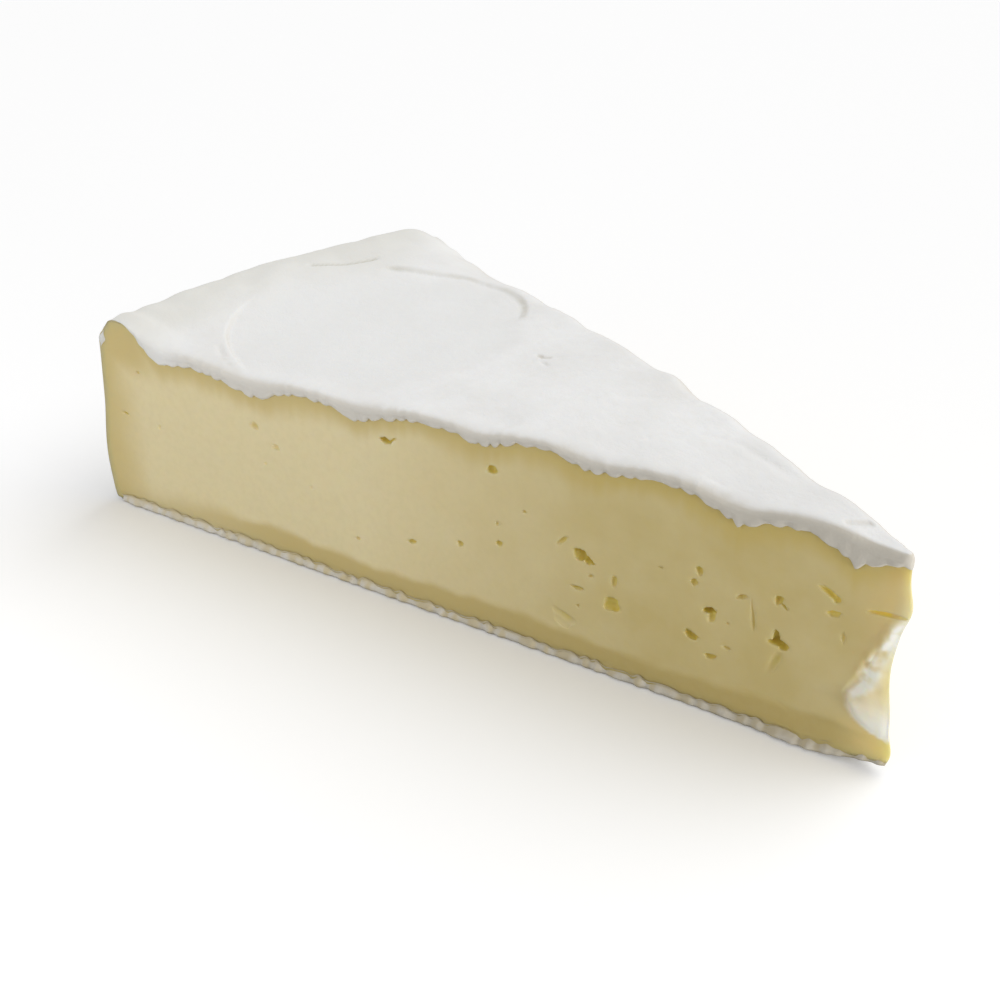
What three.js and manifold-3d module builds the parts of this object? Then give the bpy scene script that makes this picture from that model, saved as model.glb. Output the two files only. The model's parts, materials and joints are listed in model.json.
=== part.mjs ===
// Double cream brie: a wedge of one twelfth, cut from a soft-ripened wheel. Millimetres, +Z up.
// The wedge stands on its bottom rind. Its tip points along +X and the wheel's rim closes its -X end.
// The cut on the -Y side is the front cut, the one on the +Y side the back cut.
// Distances called u run from the tip along a cut, angles called a from the wedge's middle line.

import * as THREE from "three";
import { mergeVertices } from "three/addons/utils/BufferGeometryUtils.js";
import Module from "manifold-3d";

const { smoothstep, clamp, lerp, degToRad } = THREE.MathUtils;

// The wheel
const wheelRadius = 128.4;
const wedgeAngle = degToRad(30);
const rimHeight = 30;
const domeRise = 3.6;
const domeCentre = 37;
const domeSpread = 42;
const rimLift = 1.7;
const rimBulge = 1.6;
const beltHeight = 8.5;
const shoulderRadius = 4;
const footRadius = 1.3;

// The white rind: its soft edge over each cut, dragged down in scallops by the knife
const edgeRound = 1.2;
const lipOut = 0.75;
const lipHeight = 0.6;
const scallopDepth = 1.6;
const rimDrag = { drop: 0.7, from: 75, to: 100 };
const lipFade = { from: 117, to: 124 };
const edgeSag = 0.8;
const sagReach = 6;
const frontLows = [-9, 6.5, 21.5, 41.5, 60, 79.5, 98, 116, 135];
const backLows = [-8, 9, 27, 45, 66, 84, 103, 119, 136];
const beadOut = 0.5;
const beadHeight = 1.5;
const furrowDepth = 0.15;
const furrowPitch = 9;
const furrowHeading = degToRad(46);

// The ripe band just above the bottom rind, sunk a little into the cut
const bandHeight = 4.7;
const bandDepth = 0.3;
const bandDip = { drop: 1.5, from: 108, to: 126 };

// The tip: bulges of soft paste above and below its tear, a slight flare, and a bottom corner lifted
// off the floor; the two cuts run into one another over the last few millimetres
const upperBulge = { out: 1.1, height: 25, spread: 2.5 };
const lowerBulge = { out: 0.9, height: 3.5, spread: 2 };
const tipReach = 3;
const tipFlare = { out: 0.25, reach: 12 };
const tipRound = 1.2;
const tipMerge = 4;
const tipLift = 1.3;
const tipLiftLength = 9;

// The bare round place on top where a label was
const labelRadius = 24.2;
const labelDistance = 94.7;
const labelDepth = 0.4;
const labelEdge = 1.4;

// The mesh: stations from tip to rim, steps across the top and the bottom, rows of plain paste on a cut
const bodyStations = 64;
const rimStations = 6;
const acrossSteps = 12;
const pasteRows = 5;

const halfAngle = wedgeAngle / 2;
const bell = (x, centre, spread) => Math.exp(-(((x - centre) / spread) ** 2));

// Slow unevenness, from -1 to 1
const wander = (p, q) =>
  (Math.sin(0.31 * p + 0.17 * q + 1.3) + Math.sin(0.23 * q - 0.19 * p + 0.4) + Math.sin(0.47 * p + 2.1)) / 3;

// How far the rind hangs at u: 1 at the lowest point of each scallop, 0 midway between two
function drape(lows, u) {
  const next = lows.findIndex((low) => low > u);
  const share = (u - lows[next - 1]) / (lows[next] - lows[next - 1]);
  return 1 - Math.sin(Math.PI * share) ** 0.8;
}

// Height of the top face at the distance r from the tip, at the angle a
function topHeight(r, a) {
  const x = -r * Math.cos(a);
  const y = r * Math.sin(a);
  const toFront = r * Math.sin(halfAngle + a);
  const toBack = r * Math.sin(halfAngle - a);
  const dome = domeRise * bell(r, domeCentre, domeSpread);
  const lift = rimLift * smoothstep(r, 104, 124) * lerp(1, 0.3, smoothstep(a, 0, halfAngle));
  const sag =
    edgeSag * drape(frontLows, r) * bell(toFront, 0, sagReach) +
    edgeSag * drape(backLows, r) * bell(toBack, 0, sagReach) * smoothstep(r, 4, 30);
  const fromLabel = Math.hypot(x + labelDistance, y);
  const label = labelDepth * (1 - smoothstep(fromLabel, labelRadius - labelEdge, labelRadius));
  const across = x * Math.sin(furrowHeading) - y * Math.cos(furrowHeading);
  const furrow = furrowDepth * Math.sin((2 * Math.PI * across) / furrowPitch + 1.5 * wander(x, y));
  const plain = smoothstep(fromLabel, labelRadius - 2, labelRadius + 4) * smoothstep(r, 1, 8);
  return rimHeight + dome + lift - sag - label + furrow * plain + 0.15 * wander(2 * x, 2 * y);
}

// Radius of the wheel's rim at the height z, where the top face is at the height top
function rimRadius(z, top) {
  const intoShoulder = clamp((z - top + shoulderRadius) / shoulderRadius, 0, 1);
  const intoFoot = clamp((footRadius - z) / footRadius, 0, 1);
  const rounded =
    shoulderRadius * (1 - Math.sqrt(1 - intoShoulder ** 2)) + footRadius * (1 - Math.sqrt(1 - intoFoot ** 2));
  return wheelRadius + rimBulge * bell(z, beltHeight, 9) - rounded;
}

// Rows of a cut at u, from the bottom up: how far each stands out of the cut, and its height
function cutRows(lows, u, top) {
  const fade = 1 - smoothstep(u, lipFade.from, lipFade.to);
  const bead = beadHeight + 0.35 * Math.sin(1.1 * u) * Math.sin(0.37 * u);
  const dip = bandDip.drop * smoothstep(u, bandDip.from, bandDip.to);
  const band = bandHeight + 0.35 * Math.sin(u / 7) - dip;
  const drag = rimDrag.drop * smoothstep(u, rimDrag.from, rimDrag.to);
  const lip = top - edgeRound - (lipHeight + drag + scallopDepth * drape(lows, u)) * fade;
  const knob = beadOut * (1 + 0.6 * Math.sin(1.9 * u + 0.7)) + 0.9 * bell(u, 11, 5);
  const rows = [
    [-0.3, 0],
    [knob, 0.55 * bead],
    [-0.5 * bandDepth, bead],
    [-bandDepth, 0.6 * bead + 0.4 * band],
    [0, band],
  ];
  for (let row = 1; row <= pasteRows; row += 1) {
    const z = lerp(band, lip, row / (pasteRows + 0.3));
    rows.push([0.18 * wander(3 * z, u), z]);
  }
  rows.push([0.05, lip]);
  rows.push([lipOut * fade, lip + 0.4 * fade + 0.1]);
  rows.push([(lipOut + 0.1) * fade, lerp(lip, top, 0.65)]);
  rows.push([0.4 * lipOut * fade, top - 0.4 * edgeRound]);
  return rows;
}

// Stations along the wedge: low and high give the ends of a cut's upright line at the angle a
function bodyStation(share) {
  const shoulder = wheelRadius - shoulderRadius;
  return {
    u: share * shoulder,
    fade: 1,
    low: () => [share * (wheelRadius - 0.7), tipLift * (1 - smoothstep(share * shoulder, 0, tipLiftLength))],
    high: (a) => [share * shoulder, topHeight(share * shoulder, a)],
  };
}

function rimStation(share) {
  const shoulder = wheelRadius - shoulderRadius;
  return {
    u: shoulder,
    fade: 1 - share,
    low: (a) => {
      const z = beltHeight * share;
      return [rimRadius(z, topHeight(shoulder, a)), z];
    },
    high: (a) => {
      const top = topHeight(shoulder, a);
      const z = lerp(top, beltHeight, share ** 1.9);
      return [rimRadius(z, top), z];
    },
  };
}

// How far the tip bulges at the height z, fading along the cut
const tipBulge = (u, z) =>
  bell(u, 0, tipReach) *
  (upperBulge.out * bell(z, upperBulge.height, upperBulge.spread) +
    lowerBulge.out * bell(z, lowerBulge.height, lowerBulge.spread));

// The point at the distance r from the tip, the angle a and the height z, standing out of its cut
function placed(r, a, z, out) {
  const x = -r * Math.cos(a) + out * Math.sin(halfAngle) + tipBulge(r, z);
  const y = r * Math.sin(a) + Math.sign(a) * out * Math.cos(halfAngle);
  return [x, y, z];
}

// One upright line of a cut: side is -1 at the front cut and 1 at the back cut
function cutLine(station, side) {
  const a = side * halfAngle;
  const [lowR, lowZ] = station.low(a);
  const [highR, highZ] = station.high(a);
  const top = topHeight(station.u, a);
  const own = cutRows(side < 0 ? frontLows : backLows, station.u, top);
  const shared = cutRows(frontLows, station.u, top);
  const apart = smoothstep(station.u, 0, tipMerge);
  const nose = smoothstep(station.u, 0, tipRound);
  const flare = tipFlare.out * bell(station.u, 0, tipFlare.reach);
  return own.map(([out, z], row) => {
    const share = lerp(shared[row][1], z, apart) / top;
    const height = lerp(lowZ, highZ, share);
    const stand = (out + flare) * nose * station.fade;
    return placed(lerp(lowR, highR, share), a, height, stand);
  });
}

// One closed section: up the front cut, over the top, down the back cut and back along the bottom
function section(station) {
  const loop = cutLine(station, -1);
  const inset = Math.min(edgeRound / Math.max(station.u * Math.sin(halfAngle), 0.001), 0.3);
  for (let step = 0; step <= acrossSteps; step += 1) {
    const a = halfAngle * lerp(-1 + inset * station.fade, 1 - inset * station.fade, step / acrossSteps);
    const [r, z] = station.high(a);
    loop.push(placed(r, a, z, 0));
  }
  loop.push(...cutLine(station, 1).reverse());
  for (let step = 1; step < acrossSteps; step += 1) {
    const a = halfAngle * lerp(1, -1, step / acrossSteps);
    const [r, z] = station.low(a);
    loop.push(placed(r, a, z, 0));
  }
  return loop;
}

// The uncut block of the wedge, as a skin drawn over its sections
function wedgeGeometry() {
  const stations = [];
  for (let i = 0; i <= bodyStations; i += 1) {
    stations.push(bodyStation((i / bodyStations) ** 1.12));
  }
  for (let i = 1; i <= rimStations; i += 1) {
    stations.push(rimStation(i / rimStations));
  }
  const loops = stations.map(section);
  const size = loops[0].length;
  const index = [];
  for (let i = 0; i + 1 < loops.length; i += 1) {
    for (let j = 0; j < size; j += 1) {
      const here = i * size + j;
      const next = i * size + ((j + 1) % size);
      index.push(here, next, here + size, next, next + size, here + size);
    }
  }
  const geometry = new THREE.BufferGeometry();
  geometry.setAttribute("position", new THREE.Float32BufferAttribute(loops.flat(2), 3));
  geometry.setIndex(index);
  return geometry;
}

// A lumpy ball, whose lumps come from its number
function lumpGeometry(number) {
  const geometry = new THREE.IcosahedronGeometry(1, 1);
  const position = geometry.attributes.position;
  const point = new THREE.Vector3();
  for (let i = 0; i < position.count; i += 1) {
    point.fromBufferAttribute(position, i);
    const ripple = Math.sin(3.1 * point.x + number) * Math.sin(2.7 * point.y + 2 * number);
    const swell = Math.sin(4.3 * point.z + number);
    point.multiplyScalar(1 + 0.16 * (ripple + swell));
    position.setXYZ(i, point.x, point.y, point.z);
  }
  return geometry;
}

// A seeded draw of numbers from 0 to 1
function drawer(seed) {
  let state = seed;
  return () => {
    state = (state * 16807) % 2147483647;
    return state / 2147483647;
  };
}

// The larger eyes of the front cut: place [u, z], half length, half width, slope in degrees, depth
const frontEyes = [
  [42.9, 17.4, 1.9, 1.0, 24, 1.6],
  [38.4, 11.4, 1.4, 1.2, 0, 0.9],
  [38.3, 15.1, 0.6, 1.0, 0, 0.7],
  [46.2, 7.0, 1.4, 0.7, 30, 0.5],
  [43.8, 12.3, 1.1, 0.35, 0, 0.6],
  [57.2, 26.3, 1.0, 0.8, 10, 0.9],
  [62.4, 13.1, 0.6, 0.5, 0, 0.6],
  [56.1, 15.2, 0.6, 0.5, 0, 0.6],
  [74.0, 25.9, 1.5, 0.6, 0, 0.9],
  [98.3, 21.6, 1.0, 0.6, 15, 0.6],
  [94.6, 19.2, 1.0, 0.4, 0, 0.6],
  [26.6, 20.0, 0.6, 1.3, -20, 0.7],
  [24.4, 15.5, 1.0, 0.5, -20, 1.1],
  [24.3, 14.7, 0.4, 0.9, 0, 1.1],
  [26.9, 10.9, 1.2, 0.6, 20, 1.0],
  [24.0, 8.6, 0.9, 0.5, 0, 0.9],
  [15.5, 14.3, 1.4, 0.9, 15, 1.7],
  [15.6, 15.4, 0.5, 0.9, 0, 1.4],
  [15.2, 11.2, 0.7, 1.7, 20, 0.5],
  [15.3, 20.2, 0.7, 0.8, 40, 0.8],
  [20.4, 19.0, 0.8, 0.4, -25, 0.5],
  [9.0, 23.5, 1.5, 0.4, 35, 0.6],
  [8.5, 20.8, 1.0, 0.5, -10, 0.7],
  [2.2, 23.2, 1.7, 0.3, -10, 0.4],
];

// The eyes of the back cut: few by the rim, more towards the tip
function backEyes(count) {
  const draw = drawer(1207);
  const eyes = [];
  for (let i = 0; i < count; i += 1) {
    const u = 14 + 96 * draw() ** 1.7;
    const size = 0.5 + 1.1 * draw() ** 2;
    eyes.push([u, 8 + 17 * draw(), size, size * (0.5 + 0.4 * draw()), 60 * draw() - 30, 0.55 * size + 0.3]);
  }
  return eyes;
}

// A lump set into a cut, as the hollow that one eye leaves
function eyeGeometry([u, z, length, width, slope, depth], side, number) {
  const geometry = lumpGeometry(number);
  const thickness = Math.max(depth, 0.6);
  geometry.scale(length, thickness, width);
  geometry.rotateY(degToRad(slope));
  geometry.rotateZ(side < 0 ? halfAngle : -halfAngle);
  const [x, y] = placed(u, side * halfAngle, z, thickness - depth);
  geometry.translate(x, y, z);
  return geometry;
}

// The hollow torn out of the front of the tip: a deep scoop with a narrower one above it,
// each a place [u, z], half length, half height and depth
const tearScoops = [
  [2.6, 10.3, 3.7, 6.4, 1.3],
  [0.4, 17.5, 3.2, 6.6, 0.7],
];

function scoopGeometry([u, z, length, height, depth], number) {
  const thickness = 2.6;
  const geometry = lumpGeometry(number);
  geometry.scale(length, thickness, height);
  geometry.rotateZ(halfAngle);
  const [x, y] = placed(u, -halfAngle, z, thickness - depth);
  geometry.translate(x, y, z);
  return geometry;
}

const wasm = await Module();
wasm.setup();

// A closed geometry as a solid, with its shared points merged
function solid(geometry) {
  geometry.deleteAttribute("normal");
  geometry.deleteAttribute("uv");
  const merged = mergeVertices(geometry, 1e-4);
  const triVerts = [];
  const corners = merged.index.array;
  for (let i = 0; i < corners.length; i += 3) {
    const [p, q, r] = [corners[i], corners[i + 1], corners[i + 2]];
    if (p !== q && q !== r && r !== p) {
      triVerts.push(p, q, r);
    }
  }
  const vertProperties = new Float32Array(merged.attributes.position.array);
  const mesh = new wasm.Mesh({ numProp: 3, vertProperties, triVerts: new Uint32Array(triVerts) });
  return new wasm.Manifold(mesh);
}

function brieWedge() {
  let cheese = solid(wedgeGeometry());
  const hollows = [
    ...tearScoops.map((scoop, i) => scoopGeometry(scoop, i + 9)),
    ...frontEyes.map((eye, i) => eyeGeometry(eye, -1, i)),
    ...backEyes(16).map((eye, i) => eyeGeometry(eye, 1, i + 40)),
  ];
  for (const hollow of hollows) {
    cheese = cheese.subtract(solid(hollow));
  }
  const { vertProperties, triVerts } = cheese.getMesh();
  const geometry = new THREE.BufferGeometry();
  geometry.setAttribute("position", new THREE.BufferAttribute(vertProperties, 3));
  geometry.setIndex(new THREE.BufferAttribute(triVerts, 1));
  geometry.computeVertexNormals();
  geometry.computeBoundingBox();
  const ivory = new THREE.MeshStandardMaterial({ color: 0xcdc19b, roughness: 0.55, metalness: 0 });
  const mesh = new THREE.Mesh(geometry, ivory);
  mesh.name = "brie_wedge";
  const middle = geometry.boundingBox.getCenter(new THREE.Vector3());
  mesh.position.set(-middle.x, -middle.y, -geometry.boundingBox.min.z);
  return mesh;
}

const brie = new THREE.Group();
brie.add(brieWedge());

export default brie;
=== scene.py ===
import json
import math
import random

import bpy
import numpy as np
from mathutils import Euler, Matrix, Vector, noise

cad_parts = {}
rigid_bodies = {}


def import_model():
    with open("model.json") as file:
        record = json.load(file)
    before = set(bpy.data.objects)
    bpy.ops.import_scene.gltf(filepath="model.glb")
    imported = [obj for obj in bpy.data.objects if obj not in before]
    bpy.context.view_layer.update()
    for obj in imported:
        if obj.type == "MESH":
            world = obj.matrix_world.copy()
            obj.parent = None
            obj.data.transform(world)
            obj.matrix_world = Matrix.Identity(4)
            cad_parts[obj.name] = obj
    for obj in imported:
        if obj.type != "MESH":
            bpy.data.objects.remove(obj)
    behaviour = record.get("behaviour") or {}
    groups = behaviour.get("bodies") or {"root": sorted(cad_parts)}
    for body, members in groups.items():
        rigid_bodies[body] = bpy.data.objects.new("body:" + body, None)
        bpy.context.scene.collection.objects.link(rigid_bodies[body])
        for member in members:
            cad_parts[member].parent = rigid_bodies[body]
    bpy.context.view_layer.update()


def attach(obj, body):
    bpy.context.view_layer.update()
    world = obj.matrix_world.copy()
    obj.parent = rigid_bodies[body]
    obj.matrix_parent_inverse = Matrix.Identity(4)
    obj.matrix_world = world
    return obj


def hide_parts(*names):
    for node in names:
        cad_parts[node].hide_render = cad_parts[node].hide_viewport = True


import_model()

# Camera, at the photograph's viewing angle: a long lens looking down on the wedge from the tip's side.
mm = 0.001
tip_x = 64.524
bpy.ops.object.select_all(action="DESELECT")
bpy.ops.object.camera_add(location=((79.86 + tip_x) * mm, -138.85 * mm, 126.87 * mm))
camera = bpy.context.object
camera.data.lens = 56.68
camera.data.sensor_width = 36
camera.data.clip_start = 0.01
aim = Vector(((-65.73 + tip_x) * mm, -3.63 * mm, 12.902 * mm))
camera.rotation_euler = (aim - camera.location).to_track_quat("-Z", "Y").to_euler()
bpy.context.scene.camera = camera

# The paste: the pale inside of the wedge, soft enough to bulge, cut from a wheel that sagged at its belt
# and rose towards its middle as it ripened. A riper band along the bottom is sunk a little.
# Distances called u run from the tip along a cut, angles called a from the wedge's middle line.
wheel_radius = 128.4
half_angle = math.radians(15)
rim_height = 30
dome_rise, dome_centre, dome_spread = 3.6, 37, 42
rim_lift = 1.75
rim_bulge, belt_height = 1.6, 8.5
shoulder_radius, foot_radius = 4, 1.3
shoulder = wheel_radius - shoulder_radius
front_lows = (-9, 6.5, 21.5, 41.5, 58.4, 79.5, 98, 116, 135)
front_sags = (0.2, 0.2, 0.8, 0.8, 0.8, 0.8, 0.8, 0.8, 0.8)
back_lows = (-8, 7, 19, 31, 44, 57, 72, 88, 104, 120, 136)
back_sags = (0, 0.4, 0.45, 0.1, 0.6, 0.6, 0.35, 0.3, 0, 0, 0)
sag_reach = 6
label_middle = (-94.7, -1.4)
label_radius, label_depth, label_edge, groove_depth = 23.5, 0.4, 0.5, 0.4
furrow_depth, furrow_pitch, furrow_heading = 0.09, 9, math.radians(46)
tip_lift, tip_lift_length = 1.3, 9
tip_round = 0.7
nose_length, nose_steps = 1.2, 9
blade_swell, blade_reach = 0.25, 12
paste_foot = 0.6
rind_thickness = 0.9


def bell(x, centre, spread):
    return math.exp(-(((x - centre) / spread) ** 2))


def smooth(x, low, high):
    share = min(max((x - low) / (high - low), 0), 1)
    return share * share * (3 - 2 * share)


def mix(a, b, share):
    return a + (b - a) * share


def wander(p, q):
    """Slow unevenness, from -1 to 1."""
    slow = math.sin(0.31 * p + 0.17 * q + 1.3) + math.sin(0.23 * q - 0.19 * p + 0.4)
    return (slow + math.sin(0.47 * p + 2.1)) / 3


def grain(x, y, z, size):
    """Fine unevenness of a grain size, from about -1 to 1."""
    return noise.noise(Vector((x, y, z)) / size)


def scallop(lows, u):
    """The scallop of a rind's edge that u lies in: its number, and the share of it before u."""
    after = next(i for i, low in enumerate(lows) if low > u)
    return after, (u - lows[after - 1]) / (lows[after] - lows[after - 1])


def sag(lows, depths, u):
    """How far the top sags at u: deepest at the low points of its edge, not at all midway between two."""
    after, share = scallop(lows, u)
    return depths[after if share > 0.5 else after - 1] * (1 + math.cos(2 * math.pi * share)) / 2


def tip_swell(u):
    """How far the top swells up near the tip."""
    return bell(u, 8, 6.5)


def tip_drop(u):
    """How far the rounded top falls at the very tip."""
    return tip_round * (1 - math.sqrt(1 - max(1 - u / tip_round, 0) ** 2))


def label_place(x, y):
    """The round bare place of the label: how far a point is beyond its edge, and its turn about it."""
    east, north = x - label_middle[0], y - label_middle[1]
    turn = math.degrees(math.atan2(north, east))
    radius = label_radius + 0.9 * bell(turn, 98, 12) - 2 * bell(turn, 50, 14) - 0.6 * bell(turn, -153, 14)
    return math.hypot(east, north) - radius, turn


def label_crescent(turn):
    """Where the label's edge is sharp and catches the light, towards the rim."""
    return smooth(-turn, 92, 104) * smooth(turn, -162, -138)


def label_groove(beyond, turn):
    """The groove along the label's far edge, deepest in three places."""
    deepest = max(bell(turn, 134, 6), bell(turn, 107, 6), bell(turn, 68, 12))
    return bell(beyond, 0.1, 0.42) * smooth(turn, 46, 56) * smooth(-turn, -142, -134) * (0.4 + 0.6 * deepest)


def top_height(r, a):
    """Height of the top face at the distance r from the tip, at the angle a from the middle line."""
    x, y = -r * math.cos(a), r * math.sin(a)
    to_front, to_back = r * math.sin(half_angle + a), r * math.sin(half_angle - a)
    height = rim_height + dome_rise * bell(r, dome_centre, dome_spread) + tip_swell(r) - tip_drop(r)
    turn = math.degrees(a)
    lift = rim_lift * mix(1, 0.74, smooth(turn, 7, 15)) - 0.4 * bell(turn, 5.5, 2.5)
    lift += 0.5 * bell(turn, -15.5, 1.6)
    height += lift * smooth(r, 104, 124) + 0.35 * grain(x, y, 0, 5) * smooth(r, 112, 124)
    swell = 0.4 * smooth(r, 44, 52) * (1 - smooth(r, 92, 97)) - 0.35 * bell(r, 31, 12)
    height += (swell - sag(back_lows, back_sags, r)) * bell(to_back, 0, sag_reach)
    height -= sag(front_lows, front_sags, r) * bell(to_front, 0, sag_reach)
    height -= smooth(r, 94, 103) * bell(to_back, 0, 3.6) + 0.85 * smooth(r, 104, 118) * bell(to_back, 0, 2)
    height += 0.75 * bell(turn, -13.7, 0.8) * smooth(r, 112, 123)
    beyond, turn = label_place(x, y)
    far_edge = smooth(turn, 46, 56) * smooth(-turn, -142, -134)
    sharp = max(label_crescent(turn), far_edge)
    height -= label_depth * mix(1 - smooth(beyond, -5, 0), 1 - smooth(beyond, -label_edge, 0), sharp)
    height -= groove_depth * label_groove(beyond, turn)
    across = x * math.sin(furrow_heading) - y * math.cos(furrow_heading)
    furrow = furrow_depth * math.sin(2 * math.pi * across / furrow_pitch + 1.5 * wander(x, y))
    plain = smooth(beyond, -2, 4) * smooth(r, 1, 8)
    return height + furrow * plain + mix(0.03, 0.12, plain) * wander(2 * x, 2 * y)


def rim_radius(z, top):
    """Radius of the wheel's rim at the height z, where the top face is at the height top."""
    into_shoulder = min(max((z - top + shoulder_radius) / shoulder_radius, 0), 1)
    into_foot = min(max((foot_radius - z) / foot_radius, 0), 1)
    rounded = shoulder_radius * (1 - math.sqrt(1 - into_shoulder**2))
    rounded += foot_radius * (1 - math.sqrt(1 - into_foot**2))
    return wheel_radius + rim_bulge * bell(z, belt_height, 9) - rounded


def rim_surface(z, top, a):
    """The rim's radius and height, and its outward normal [level, up]. Its front corner is drawn in."""
    z = min(max(z, 0.02), top - 0.02)
    step = 0.02
    lean = (rim_radius(z + step, top) - rim_radius(z - step, top)) / (2 * step)
    normal = Vector((1, -lean)).normalized()
    turn, drop = math.degrees(a), top - z
    drawn_in = 0.6 * smooth(drop, 0, 1.2) * (1 - smooth(drop, 2, 3.6)) * bell(turn, -15, 3)
    drawn_in -= 0.2 * bell(drop, 10, 5) * bell(turn, -15, 3)
    return rim_radius(z, top) - drawn_in, z, (normal.x, normal.y)


def tip_bulge(u, z):
    """How far soft paste bulges out of the tip above and below its tear."""
    swell = 0.9 * bell(z, 24.5, 2.6) + 0.9 * bell(z, 3.4, 2.2) + 0.2 * bell(z, 8, 2.5) - 0.8 * bell(z, 15, 5)
    return bell(u, 0, 3) * swell


def nose(u):
    """How the tip is rounded: 0 at its very edge, 1 where the cuts run straight."""
    return math.sqrt(1 - (1 - min(u / nose_length, 1)) ** 2)


def placed(r, a, z, out=0):
    """The point at the distance r from the tip, the angle a and the height z, out of its cut."""
    x = -r * math.cos(a) + out * math.sin(half_angle) + tip_bulge(r, z)
    y = r * math.sin(a) + math.copysign(out, a) * math.cos(half_angle)
    return ((x + tip_x) * mm, y * mm, z * mm)


def stations(count, end, lean=1.08):
    """Distances along the wedge, closest together round the nose of the tip."""
    round_tip = [nose_length * (1 - math.cos(math.pi / 2 * i / nose_steps)) for i in range(nose_steps)]
    return round_tip + [nose_length + (end - nose_length) * (i / count) ** lean for i in range(count + 1)]


def wrap(name, sections):
    """A skin drawn over closed cross-sections, one row of points for each, and sewn where it meets."""
    rows = [section + section[:1] for section in sections]
    bpy.ops.object.select_all(action="DESELECT")
    bpy.ops.mesh.primitive_grid_add(x_subdivisions=len(rows[0]) - 1, y_subdivisions=len(rows) - 1)
    piece = bpy.context.object
    piece.name = name
    piece.data.name = name
    piece.data.vertices.foreach_set("co", np.array(rows, np.float32).ravel())
    bpy.ops.object.mode_set(mode="EDIT")
    bpy.ops.mesh.select_all(action="SELECT")
    bpy.ops.mesh.remove_doubles(threshold=0.002 * mm)
    bpy.ops.mesh.dissolve_degenerate(threshold=0.001 * mm)
    bpy.ops.mesh.select_all(action="DESELECT")
    bpy.ops.mesh.select_mode(type="EDGE")
    bpy.ops.mesh.select_non_manifold(
        extend=False, use_wire=False, use_multi_face=False, use_non_contiguous=False
    )
    if piece.data.total_edge_sel:
        bpy.ops.mesh.fill()
    bpy.ops.mesh.select_all(action="SELECT")
    bpy.ops.mesh.normals_make_consistent(inside=False)
    bpy.ops.object.mode_set(mode="OBJECT")
    bpy.ops.object.shade_smooth()
    return piece


def band_top(u):
    """Upper edge of the ripe band along the bottom rind."""
    return 4.7 + 0.35 * math.sin(u / 7) + 0.5 * grain(u, 71, 0, 5) - 1.5 * smooth(u, 108, 126)


def band_fuzz(u):
    """How softly the band ends: sharply by the tip, in a wide blur by the rim."""
    return mix(0.7, 2.4, smooth(u, 96, 117))


# The tear: the very tip was pulled off, which left a cupped hollow open to the front, with a thin
# blade of paste behind it and a ledge below. Its edge on the front cut runs through these [z, u].
tear_edge = ((4.8, -0.9), (5.2, 0.7), (5.6, 2.2), (6.2, 3.4), (7.0, 4.6), (8.2, 5.6), (10.3, 5.8))
tear_edge += ((12.3, 4.9), (14.1, 4.2), (16.1, 3.5), (17.8, 2.6), (19.8, 1.9), (21.6, 1.3))
tear_edge += ((22.9, 0.4), (23.4, -0.6))


def tear_reach(z):
    """How far the tear reaches into the front cut at a height."""
    if not tear_edge[0][0] < z < tear_edge[-1][0]:
        return -1
    after = next(i for i, (height, _) in enumerate(tear_edge) if height > z)
    (low_z, low_u), (high_z, high_u) = tear_edge[after - 1], tear_edge[after]
    return mix(low_u, high_u, (z - low_z) / (high_z - low_z)) + 0.25 * grain(z, 3, 8, 1.3)


def curds(u, z, into):
    """White lumps of curds that were pulled up along the tear's upper edge, from 0 to about 1."""
    lumps = max(0.8 * grain(u, 50, z, 1.6) + 0.4 * grain(u, 60, z, 0.7) + 0.65, 0)
    return bell(into, 1.1, 1.4) * smooth(z, 9, 12) * lumps


def tear_depth(u, z):
    """How deep the tear lies under the front cut. Curds stand out of it along its upper edge."""
    into = tear_reach(z) - u
    if into < -0.6:
        return 0
    blade = mix(0.12, 0.75, smooth(u, 0, 5)) * mix(1, 1.6, smooth(11 - z, 0, 5))
    room = max(2 * u * math.sin(half_angle) + 0.45 * nose(u) - blade, 0)
    wall = 0.8 * smooth(into, -0.3, 1.9) + 0.2 * smooth(into, 1, 3.5)
    lumps = grain(u, 50, z, 1.5) + 0.4 * grain(u, 60, z, 0.7)
    return room * wall * (0.92 + 0.2 * lumps) - 0.8 * curds(u, z, into) * smooth(u, 0.2, 1.2)


def cut_out(u, z, side):
    """How far the paste stands out of its cut."""
    fuzz = band_fuzz(u)
    band = 1 - smooth(z, band_top(u) - fuzz, band_top(u) + fuzz)
    bend = 0.06 * wander(z, u) + 0.09 * grain(u, side * 40, z, 9) + 0.02 * grain(u, side * 40, z, 1.6)
    fillet = 0.22 * (1 - smooth(z - tip_lift * (1 - smooth(u, 0, tip_lift_length)), 0.9, 2.4))
    return (bend - 0.16 * band + fillet) * smooth(wheel_radius - u, 0, 7)


wall_rows = 84
across_cut = (-0.99, -0.96, -0.8, -0.5, -0.25, 0, 0.25, 0.5, 0.8, 0.96, 0.99)


def paste_section(u, low, high):
    """Up the front cut, across under the top rind, down the back cut and back over the bottom rind."""
    walls = []
    for side in (-1, 1):
        a = side * half_angle
        (low_r, low_z), (high_r, high_z) = low(a), high(a)
        wall = []
        for row in range(wall_rows + 1):
            share = row / wall_rows
            z = mix(low_z, high_z, share)
            apart = mix(cut_out(u, z, -1), cut_out(u, z, side), smooth(u, 0, 4))
            stand = (apart + blade_swell * bell(u, 0, blade_reach)) * nose(u)
            stand -= tear_depth(u, z) if side < 0 else 0
            wall.append(placed(mix(low_r, high_r, share), a, z, stand))
        walls.append(wall)
    over = [half_angle * share for share in across_cut]
    loop = walls[0] + [placed(high(a)[0], a, high(a)[1]) for a in over]
    return loop + walls[1][::-1] + [placed(low(a)[0], a, low(a)[1]) for a in over[::-1]]


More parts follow.
